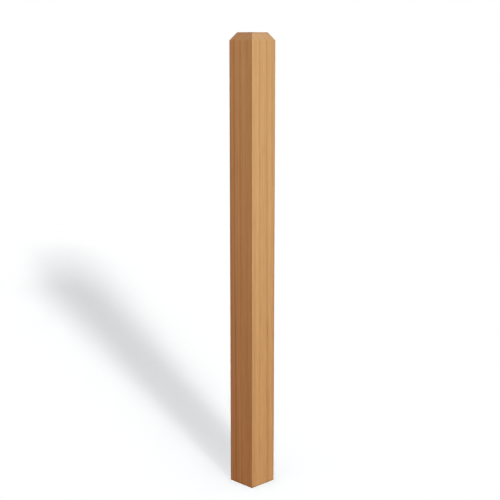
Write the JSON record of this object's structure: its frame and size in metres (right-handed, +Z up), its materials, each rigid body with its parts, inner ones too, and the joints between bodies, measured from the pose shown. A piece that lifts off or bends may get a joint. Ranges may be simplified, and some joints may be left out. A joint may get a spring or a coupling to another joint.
{
  "type": "newel post",
  "caption": "Plain square timber newel post with a chamfered top, eased arrises and a flat sawn foot.",
  "frame": {"origin": "centre of the sawn foot, level with the surface that the post stands on", "axes": "+Z up the post, +X and +Y square to two of its side faces"},
  "size_m": [0.083, 0.083, 1.2],
  "materials": {
    "wood": "planed"
  },
  "bodies": {
    "root": {"newel_post": "wood"}
  },
  "joints": []
}
